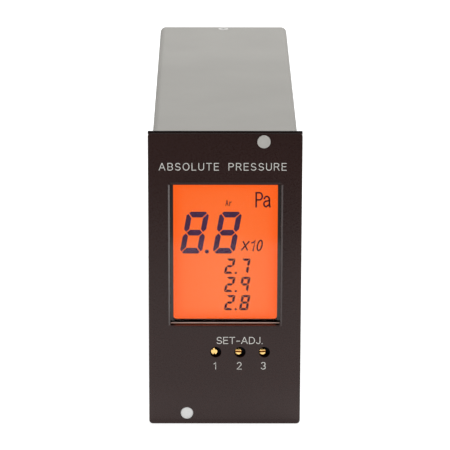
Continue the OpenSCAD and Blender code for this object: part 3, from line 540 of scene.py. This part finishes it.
# Display glass: lit from behind through an orange film, so it glows evenly, a little
# deeper near its edges. Its bars and signs are thin dark layers on its front, purple
# where they are wide, like a twisted liquid crystal.
lit_edge, lit_middle, lit_full_at = (0.985, 0.118, 0.009), (1.0, 0.180, 0.038), 0.85
lit_left, lit_right, lit_low, lit_high = -16.2, 16.5, -13.8, 31.4
edge_glow, glow_reach_x, glow_reach_z = 4.0, 30, 48
lit_orange = bpy.data.materials.new("lit_orange")
lit_orange.use_nodes = True
nodes, links = lit_orange.node_tree.nodes, lit_orange.node_tree.links
glow = nodes["Principled BSDF"]
glow.inputs["Base Color"].default_value = (0.02, 0.006, 0.002, 1)
glow.inputs["Roughness"].default_value = 0.3
glow.inputs["Specular IOR Level"].default_value = 0.1
glow.inputs["Emission Strength"].default_value = 1.0
glow_place = nodes.new("ShaderNodeTexCoord")
glow_axes = nodes.new("ShaderNodeSeparateXYZ")
links.new(glow_place.outputs["Object"], glow_axes.inputs["Vector"])
glow_shares = []
for axis, edge, inside in (("X", lit_left, lit_left + edge_glow), ("X", lit_right, lit_right - edge_glow),
                           ("Z", lit_low, lit_low + edge_glow), ("Z", lit_high, lit_high - edge_glow)):
    share = nodes.new("ShaderNodeMapRange")
    share.interpolation_type = "SMOOTHSTEP"
    share.inputs["From Min"].default_value = edge * MM
    share.inputs["From Max"].default_value = inside * MM
    links.new(glow_axes.outputs[axis], share.inputs["Value"])
    glow_shares.append(share.outputs["Result"])
glow_fit = nodes.new("ShaderNodeMapping")
glow_fit.vector_type = "TEXTURE"
glow_fit.inputs["Scale"].default_value = (glow_reach_x * MM, 1, glow_reach_z * MM)
glow_ball = nodes.new("ShaderNodeTexGradient")
glow_ball.gradient_type = "SPHERICAL"
links.new(glow_place.outputs["Object"], glow_fit.inputs["Vector"])
links.new(glow_fit.outputs["Vector"], glow_ball.inputs["Vector"])
glow_share = glow_ball.outputs["Fac"]
for share in glow_shares:
    product = nodes.new("ShaderNodeMath")
    product.operation = "MULTIPLY"
    links.new(glow_share, product.inputs[0])
    links.new(share, product.inputs[1])
    glow_share = product.outputs[0]
glow_tones = nodes.new("ShaderNodeValToRGB")
glow_tones.color_ramp.elements[0].position = 0.0
glow_tones.color_ramp.elements[0].color = (*lit_edge, 1)
glow_tones.color_ramp.elements[1].position = lit_full_at
glow_tones.color_ramp.elements[1].color = (*lit_middle, 1)
links.new(glow_share, glow_tones.inputs["Fac"])
links.new(glow_tones.outputs["Color"], glow.inputs["Emission Color"])
dress("lcd_glass", lit_orange)

glass_front, bar_t = 1.0, 0.02
lean = 0.179


def digit_bars(lit, left, low, wide, tall, bar, flat, gap, nick):
    """Outlines of a slanted digit's bars, named a to g clockwise from the top (sizes in mm)."""
    mid, half, tip = tall / 2, flat / 2, bar / 2
    top = [(gap + nick, tall), (wide - gap - nick, tall), (wide - gap - nick / 2, tall - nick / 2),
           (wide - bar - gap, tall - flat), (bar + gap, tall - flat), (gap + nick / 2, tall - nick / 2)]
    left_up = [(0, tall - gap - nick), (nick / 2, tall - gap - nick / 2), (bar, tall - flat - gap),
               (bar, mid + half + gap), (tip, mid + gap), (0, mid + half + gap)]
    middle = [(tip + gap, mid), (bar + gap, mid + half), (wide - bar - gap, mid + half),
              (wide - tip - gap, mid), (wide - bar - gap, mid - half), (bar + gap, mid - half)]
    right_up = [(wide - x, z) for x, z in left_up]
    left_down, right_down, bottom = (
        [(x, tall - z) for x, z in outline] for outline in (left_up, right_up, top)
    )
    bars = {"a": top, "b": right_up, "c": right_down, "d": bottom, "e": left_down, "f": left_up, "g": middle}
    return [[(left + x + lean * z, low + z) for x, z in bars[name]] for name in lit]


def dot(x, z, r, corners=16):
    """Outline of a round dot."""
    return arc(x, z, r, r, 0, 360, corners)[:-1]


def joined(name, meshes):
    """One mesh from several."""
    whole = bmesh.new()
    for mesh in meshes:
        whole.from_mesh(mesh)
    mesh = bpy.data.meshes.new(name)
    whole.to_mesh(mesh)
    whole.free()
    return mesh


big_digit = dict(wide=6.95, tall=13.72, bar=1.66, flat=1.86, gap=0.22, nick=0.95)
big_left, big_second, big_low = -14.25, -3.97, 7.85
big_dot_x, big_dot_z, big_dot_r = -5.66, 8.5, 0.66
small_digit = dict(wide=2.80, tall=5.04, bar=0.77, flat=0.74, gap=0.10, nick=0.2)
small_left, small_second, small_low, row_step = -0.3, 4.46, 1.15, 6.05
small_dot_x, small_dot_up, small_dot_r = 3.46, 0.28, 0.36
big_outlines = [
    *digit_bars("abcdefg", big_left, big_low, **big_digit),
    *digit_bars("abcdefg", big_second, big_low, **big_digit),
    dot(big_dot_x, big_dot_z, big_dot_r),
]
small_outlines = []
for row, second in enumerate(("abc", "abcfg", "abcdefg")):
    row_low = small_low - row * row_step
    small_outlines += digit_bars("abged", small_left, row_low, **small_digit)
    small_outlines += digit_bars(second, small_second, row_low, **small_digit)
    small_outlines.append(dot(small_dot_x, row_low + small_dot_up, small_dot_r))
layer = dict(vary=0.1, rough=0.5, patch=3, grain=0.5, depth=0, specular=0.1)
bar_purple = finish("bar_purple", (0.088, 0.036, 0.108), **layer)
display_bars = plates("display_bars", big_outlines, glass_front, bar_t)
add_piece("display_bars", display_bars, bar_purple, "unit")
sign_meshes = [plates("small_digits", small_outlines, glass_front, bar_t)]
# Words, their left, right, lower and upper edges, stroke, letter width and slant
for words, left, right, low, high, stroke, wide, slant in (
    ("Pa", 9.50, 14.30, 22.97, 28.03, 0.5, 0.74, 0.0),
    ("Ar", 0.14, 2.1, 23.44, 25.4, 0.22, 0.58, 0.0),
    ("\u00d710", 5.0, 12.2, 8.62, 12.42, 0.45, 1.0, 0.2),
):
    sign_strokes = written(words, left, right, low, high, stroke, wide, slant)
    sign_meshes.append(ribbons("sign", sign_strokes, stroke, glass_front, bar_t))
sign_dark = finish("sign_dark", (0.058, 0.007, 0.030), **layer)
add_piece("display_signs", joined("display_signs", sign_meshes), sign_dark, "unit")

# Behind the glass: a milky light guide, four small lamps at its sides and two striped
# rubber strips that press the glass's contacts onto the display board.
milky_guide = finish("milky_guide", (0.86, 0.82, 0.74), vary=0.03, rough=0.3, grain=0.6, depth=0.002)
lamp_amber = finish("lamp_amber", (0.95, 0.45, 0.08), vary=0.05, rough=0.2, patch=1, grain=0.3, depth=0.002)
strip_rubber = finish("strip_rubber", (0.25, 0.22, 0.18), vary=0.3, rough=0.7, patch=0.4, grain=0.1,
                      depth=0.01, stretch=(1, 0.1, 0.1))
dress("backlight_block", milky_guide)
dress("backlight_leds", lamp_amber)
dress("lcd_contact_strips", strip_rubber)

# Circuit boards: glass-fibre sheet under green lacquer, one behind the display on the
# frame's bosses and two long ones along the case, joined to it by plug-on links.
board_green = finish("board_green", (0.018, 0.11, 0.035), vary=0.2, rough=0.35, patch=3, grain=0.4,
                     depth=0.01)
for board in ("display_board", "main_board", "power_board"):
    dress(board, board_green)
for link in ("main_link", "power_link"):
    dress(link, black_plastic)
steel = finish("steel", (0.62, 0.61, 0.585), vary=0.06, rough=0.26, rough_vary=0.07, patch=1.5, grain=0.08,
               depth=0.002, metallic=1)
dress("display_board_screws", steel)

# Trimmers: moulded bodies on the display board, coloured near-black as painted shade deep
# in the panel holes, each with a slotted brass screw that turns behind its hole in the panel.
# The screw heads show turned rings.
# Near-black body colour: painted shade seen through the trimmer holes.
trimmer_shaded = finish("trimmer_shaded", (0.003, 0.003, 0.011), vary=0.1, rough=0.5, patch=2, grain=0.2,
                      depth=0.005, specular=0.12)
for i in (1, 2, 3):
    dress(f"trimmer_body_{i}", trimmer_shaded)
trimmer_z, trimmer_head_y = -23.8, -2.1
# Painted shade in the slots: plain brass for the first screw, a dark brown for the second and third, whose
# slots lie across.
slot_shade_from, slot_shade_full = trimmer_head_y + 0.02, trimmer_head_y + 0.08
unshaded_slot, painted_slot_shade = (0.93, 0.6, 0.21), (0.33, 0.10, 0.008)


def turned_brass(name, axis_x, axis_z, slot_shade, ring=0.16):
    """Brass with fine turned rings round an axis along Y, turning in its slot to a given colour used as
    painted shade (sizes in mm).
    """
    material = finish(name, (0.93, 0.61, 0.22), vary=0.08, rough=0.2, rough_vary=0.05, patch=0.8,
                      grain=0.06, depth=0.002, metallic=1)
    nodes, links = material.node_tree.nodes, material.node_tree.links
    centre = nodes.new("ShaderNodeMapping")
    centre.inputs["Location"].default_value = (-axis_x * MM, 0, -axis_z * MM)
    links.new(nodes["Texture Coordinate"].outputs["Object"], centre.inputs["Vector"])
    rings = nodes.new("ShaderNodeTexWave")
    rings.wave_type = "RINGS"
    rings.rings_direction = "Y"
    rings.inputs["Scale"].default_value = 0.05 / (ring * MM)
    rings.inputs["Distortion"].default_value = 0.2
    links.new(centre.outputs["Vector"], rings.inputs["Vector"])
    cut_marks = nodes.new("ShaderNodeBump")
    cut_marks.inputs["Strength"].default_value = 0.25
    cut_marks.inputs["Distance"].default_value = 0.004 * MM
    links.new(rings.outputs["Fac"], cut_marks.inputs["Height"])
    links.new(nodes["Bump"].outputs["Normal"], cut_marks.inputs["Normal"])
    links.new(cut_marks.outputs["Normal"], nodes["Principled BSDF"].inputs["Normal"])
    drifting(material, "Base Color", "Y", slot_shade_from, slot_shade_full, slot_shade)
    return material


for i, trimmer_x, slot_shade in ((1, -3.35, unshaded_slot), (2, 4.3, painted_slot_shade), (3, 11.95, painted_slot_shade)):
    brass = turned_brass(f"brass_{i}", trimmer_x, trimmer_z, slot_shade)
    softened(f"trimmer_screw_{i}", brass, f"adjuster_{i}", radius=0.02)

# Case sleeve: folded sheet steel with a fine matt warm-grey paint, closed by the front
# frame and the rear panel.
case_paint = finish("case_paint", (0.318, 0.310, 0.291), vary=0.025, rough=0.6, rough_vary=0.08, patch=18,
                    grain=0.22, depth=0.012, specular=0.12)
softened("case_sleeve", case_paint, "unit", radius=0.06)

# Case screws: bright countersunk screws with a cross recess, one through the top and one
# through the bottom of the sleeve into the rear panel.
case_top, case_screw_y = 45.8, 147.5
recess_arm, recess_w, recess_depth = 1.05, 0.42, 0.7
cut_above, recess_taper = 0.3, 0.45


def cross_cutter(name, centre, depth_sign):
    """Tapered cross that cuts a driver recess downwards from a head (sizes in mm)."""
    shape = bmesh.new()
    for along_x in (True, False):
        wide, deep = (recess_arm, recess_w / 2) if along_x else (recess_w / 2, recess_arm)
        rows = []
        for rise, share in ((cut_above, 1.0), (-recess_depth, recess_taper)):
            rows.append([
                shape.verts.new((
                    (centre[0] + sx * (wide * share if along_x else wide)) * MM,
                    (centre[1] + sy * (deep if along_x else deep * share)) * MM,
                    (centre[2] + depth_sign * rise) * MM,
                ))
                for sx, sy in ((1, 1), (-1, 1), (-1, -1), (1, -1))
            ])
        shape.faces.new(rows[0])
        shape.faces.new(rows[1])
        for k in range(4):
            shape.faces.new((rows[0][k], rows[0][(k + 1) % 4], rows[1][(k + 1) % 4], rows[1][k]))
    bmesh.ops.recalc_face_normals(shape, faces=shape.faces)
    mesh = bpy.data.meshes.new(name)
    shape.to_mesh(mesh)
    shape.free()
    cutter = bpy.data.objects.new(name, mesh)
    bpy.context.scene.collection.objects.link(cutter)
    return cutter


def cut_from(mesh, cutters):
    """Mesh with the cutters' shapes taken out of it."""
    blank = bpy.data.objects.new("blank", mesh)
    bpy.context.scene.collection.objects.link(blank)
    for cutter in cutters:
        cut = blank.modifiers.new("cut", "BOOLEAN")
        cut.operation = "DIFFERENCE"
        cut.solver = "EXACT"
        cut.use_self = True
        cut.object = cutter
    result = settled(blank)
    for cutter in cutters:
        bpy.data.objects.remove(cutter)
    return result


case_screw_mesh = cut_from(merged_copy("case_screws"), [
    cross_cutter("recess_top", (0, case_screw_y, case_top), 1),
    cross_cutter("recess_bottom", (0, case_screw_y, -case_top), -1),
])
smooth_faces(case_screw_mesh)
zinc = finish("zinc", (0.82, 0.81, 0.785), vary=0.05, rough=0.4, patch=1, grain=0.08, depth=0.003,
              metallic=1)
case_screws = add_piece("case_screws_cut", case_screw_mesh, zinc, "unit")
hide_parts("case_screws")

# Rear panel: dark grey moulded end plate, screwed between the sleeve's walls, with
# cut-outs for the two sockets and the power terminals.
rear_grey = finish("rear_grey", (0.042, 0.043, 0.046), vary=0.06, rough=0.5, patch=10, grain=0.25,
                   depth=0.012)
softened("rear_panel", rear_grey, "unit", radius=0.15)

# Parts on the boards: black moulded chips with a satin surface, also the power board's
# rectifier and regulator, and three cream relay cases for the set points.
chip_black = finish("chip_black", (0.018, 0.019, 0.02), vary=0.1, rough=0.5, patch=2, grain=0.12,
                    depth=0.006)
relay_cream = finish("relay_cream", (0.78, 0.74, 0.64), vary=0.04, rough=0.3, patch=6, grain=0.3,
                     depth=0.003)
for chip in ("processor_chip", "amplifier_chips", "rectifier", "regulator"):
    dress(chip, chip_black)
for i in (1, 2, 3):
    dress(f"relay_{i}", relay_cream)

# Power supply: a laminated transformer with its varnished winding, sleeved capacitors,
# an anodised finned heatsink and a glass fuse in sprung clips.
core_sheets = finish("core_sheets", (0.07, 0.074, 0.08), vary=0.25, rough=0.4, patch=2, grain=0.4,
                     depth=0.03, metallic=0.8, stretch=(0.05, 0.05, 1))
winding_varnish = finish("winding_varnish", (0.42, 0.14, 0.035), vary=0.2, rough=0.35, patch=2, grain=0.3,
                         depth=0.03, stretch=(0.1, 1, 0.1))
can_blue = finish("can_blue", (0.02, 0.045, 0.13), vary=0.06, rough=0.3, patch=6, grain=0.5, depth=0.003)
anodised = finish("anodised", (0.11, 0.12, 0.125), vary=0.08, rough=0.4, patch=4, grain=0.15,
                  depth=0.006, metallic=0.9, stretch=(0.05, 1, 1))
fuse_glass = finish("fuse_glass", (0.7, 0.7, 0.66), vary=0.05, rough=0.08, rough_vary=0.03, patch=2,
                    grain=0.5, depth=0.001)
brass_plate = finish("brass_plate", (0.62, 0.50, 0.24), vary=0.08, rough=0.28, patch=1.5, grain=0.1,
                     depth=0.003, metallic=1)
dress("transformer_core", core_sheets)
dress("transformer_coil", winding_varnish)
dress("smoothing_capacitors", can_blue)
dress("regulator_heatsink", anodised)
dress("fuse", fuse_glass)
dress("fuse_clips", brass_plate)

# Sockets: pressed and plated shells that stand out of the rear panel round black
# insulators, held by hexagon posts that take the plugs' screws.
insulator_black = finish("insulator_black", (0.013, 0.013, 0.015), vary=0.1, rough=0.4, patch=4,
                         grain=0.2, depth=0.004)
for socket in ("sensor", "signal"):
    softened(f"{socket}_socket_shell", steel, "unit", radius=0.08)
    softened(f"{socket}_socket_insulator", insulator_black, "unit", radius=0.08)
    softened(f"{socket}_jack_posts", steel, "unit", radius=0.16, steps=3)

# Socket contacts: turned and plated sleeves in two staggered rows, with chamfered mouths
# that guide the plug's pins.
contact_tree = bpy.data.node_groups.new("contact_rows", "GeometryNodeTree")
contact_inputs = {}
for label, kind in (
    ("Long Row", "Int"), ("Short Row", "Int"), ("Pitch", "Float"), ("Row Spacing", "Float"),
    ("Outer Radius", "Float"), ("Bore Radius", "Float"), ("Length", "Float"), ("Chamfer", "Float"),
    ("Middle", "Vector"), ("Plating", "Material"),
):
    socket = contact_tree.interface.new_socket(name=label, in_out="INPUT", socket_type="NodeSocket" + kind)
    contact_inputs[label] = socket.identifier
contact_tree.interface.new_socket(name="Geometry", in_out="OUTPUT", socket_type="NodeSocketGeometry")
nodes, links = contact_tree.nodes, contact_tree.links
given = nodes.new("NodeGroupInput").outputs


def figure(operation, a, b):
    """Math node of the contact tree; each side is a number or an output."""
    node = contact_tree.nodes.new("ShaderNodeMath")
    node.operation = operation
    for side, value in zip(node.inputs, (a, b)):
        if isinstance(value, (int, float)):
            side.default_value = value
        else:
            contact_tree.links.new(value, side)
    return node.outputs[0]


rows = nodes.new("GeometryNodeJoinGeometry")
step = nodes.new("ShaderNodeCombineXYZ")
links.new(given["Pitch"], step.inputs["Z"])
for label, side in (("Long Row", -0.5), ("Short Row", 0.5)):
    start = nodes.new("ShaderNodeCombineXYZ")
    links.new(figure("MULTIPLY", given["Row Spacing"], side), start.inputs["X"])
    span = figure("MULTIPLY", figure("SUBTRACT", given[label], 1), given["Pitch"])
    links.new(figure("MULTIPLY", span, -0.5), start.inputs["Z"])
    line = nodes.new("GeometryNodeMeshLine")
    links.new(given[label], line.inputs["Count"])
    links.new(start.outputs["Vector"], line.inputs["Start Location"])
    links.new(step.outputs["Vector"], line.inputs["Offset"])
    links.new(line.outputs["Mesh"], rows.inputs["Geometry"])
round_path = nodes.new("GeometryNodeCurvePrimitiveCircle")
round_path.inputs["Resolution"].default_value = 20
both_radii = figure("ADD", given["Outer Radius"], given["Bore Radius"])
links.new(figure("MULTIPLY", both_radii, 0.5), round_path.inputs["Radius"])
section = nodes.new("GeometryNodeCurvePrimitiveQuadrilateral")
links.new(figure("SUBTRACT", given["Outer Radius"], given["Bore Radius"]), section.inputs["Width"])
links.new(given["Length"], section.inputs["Height"])
mouth = nodes.new("GeometryNodeFilletCurve")
mouth.mode = "POLY"
mouth.inputs["Count"].default_value = 1
links.new(given["Chamfer"], mouth.inputs["Radius"])
links.new(section.outputs["Curve"], mouth.inputs["Curve"])
sleeve = nodes.new("GeometryNodeCurveToMesh")
links.new(round_path.outputs["Curve"], sleeve.inputs["Curve"])
links.new(mouth.outputs["Curve"], sleeve.inputs["Profile Curve"])
copies = nodes.new("GeometryNodeInstanceOnPoints")
copies.inputs["Rotation"].default_value = (math.pi / 2, 0, 0)
links.new(rows.outputs["Geometry"], copies.inputs["Points"])
links.new(sleeve.outputs["Mesh"], copies.inputs["Instance"])
moved = nodes.new("GeometryNodeTransform")
links.new(copies.outputs["Instances"], moved.inputs["Geometry"])
links.new(given["Middle"], moved.inputs["Translation"])
real = nodes.new("GeometryNodeRealizeInstances")
links.new(moved.outputs["Geometry"], real.inputs["Geometry"])
plated = nodes.new("GeometryNodeSetMaterial")
links.new(real.outputs["Geometry"], plated.inputs["Geometry"])
links.new(given["Plating"], plated.inputs["Material"])
links.new(plated.outputs["Geometry"], nodes.new("NodeGroupOutput").inputs["Geometry"])

socket_x = -9.7
contact_pitch, contact_rows_apart = 2.77, 2.84
contact_r, contact_bore_r, contact_chamfer = 0.75, 0.5, 0.09
contact_start, contact_end = 146.2, 153.2
contact_middle_y, contact_len = (contact_start + contact_end) / 2, contact_end - contact_start
for socket, socket_z, long_row, short_row in (("sensor", 21.538, 5, 4), ("signal", -17.388, 8, 7)):
    seed = bpy.data.objects.new(f"{socket}_contact_seed", bpy.data.meshes.new(f"{socket}_contact_seed"))
    maker = seed.modifiers.new("contacts", "NODES")
    maker.node_group = contact_tree
    for label, value in (
        ("Long Row", long_row), ("Short Row", short_row), ("Pitch", contact_pitch * MM),
        ("Row Spacing", contact_rows_apart * MM), ("Outer Radius", contact_r * MM),
        ("Bore Radius", contact_bore_r * MM), ("Length", contact_len * MM),
        ("Chamfer", contact_chamfer * MM), ("Plating", brass_plate),
        ("Middle", (socket_x * MM, contact_middle_y * MM, socket_z * MM)),
    ):
        maker[contact_inputs[label]] = value
    bpy.context.scene.collection.objects.link(seed)
    contact_mesh = settled(seed)
    smooth_faces(contact_mesh)
    contacts = add_piece(f"{socket}_contact_sleeves", contact_mesh, brass_plate, "unit")
    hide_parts(f"{socket}_socket_contacts")

# Power terminals: a black barrier block on the power board with three plated clamp
# plates under slotted screws.
softened("terminal_block", black_plastic, "unit", radius=0.15)
softened("terminal_plates", brass_plate, "unit", radius=0.1)
softened("terminal_screws", steel, "unit", radius=0.18, steps=3)
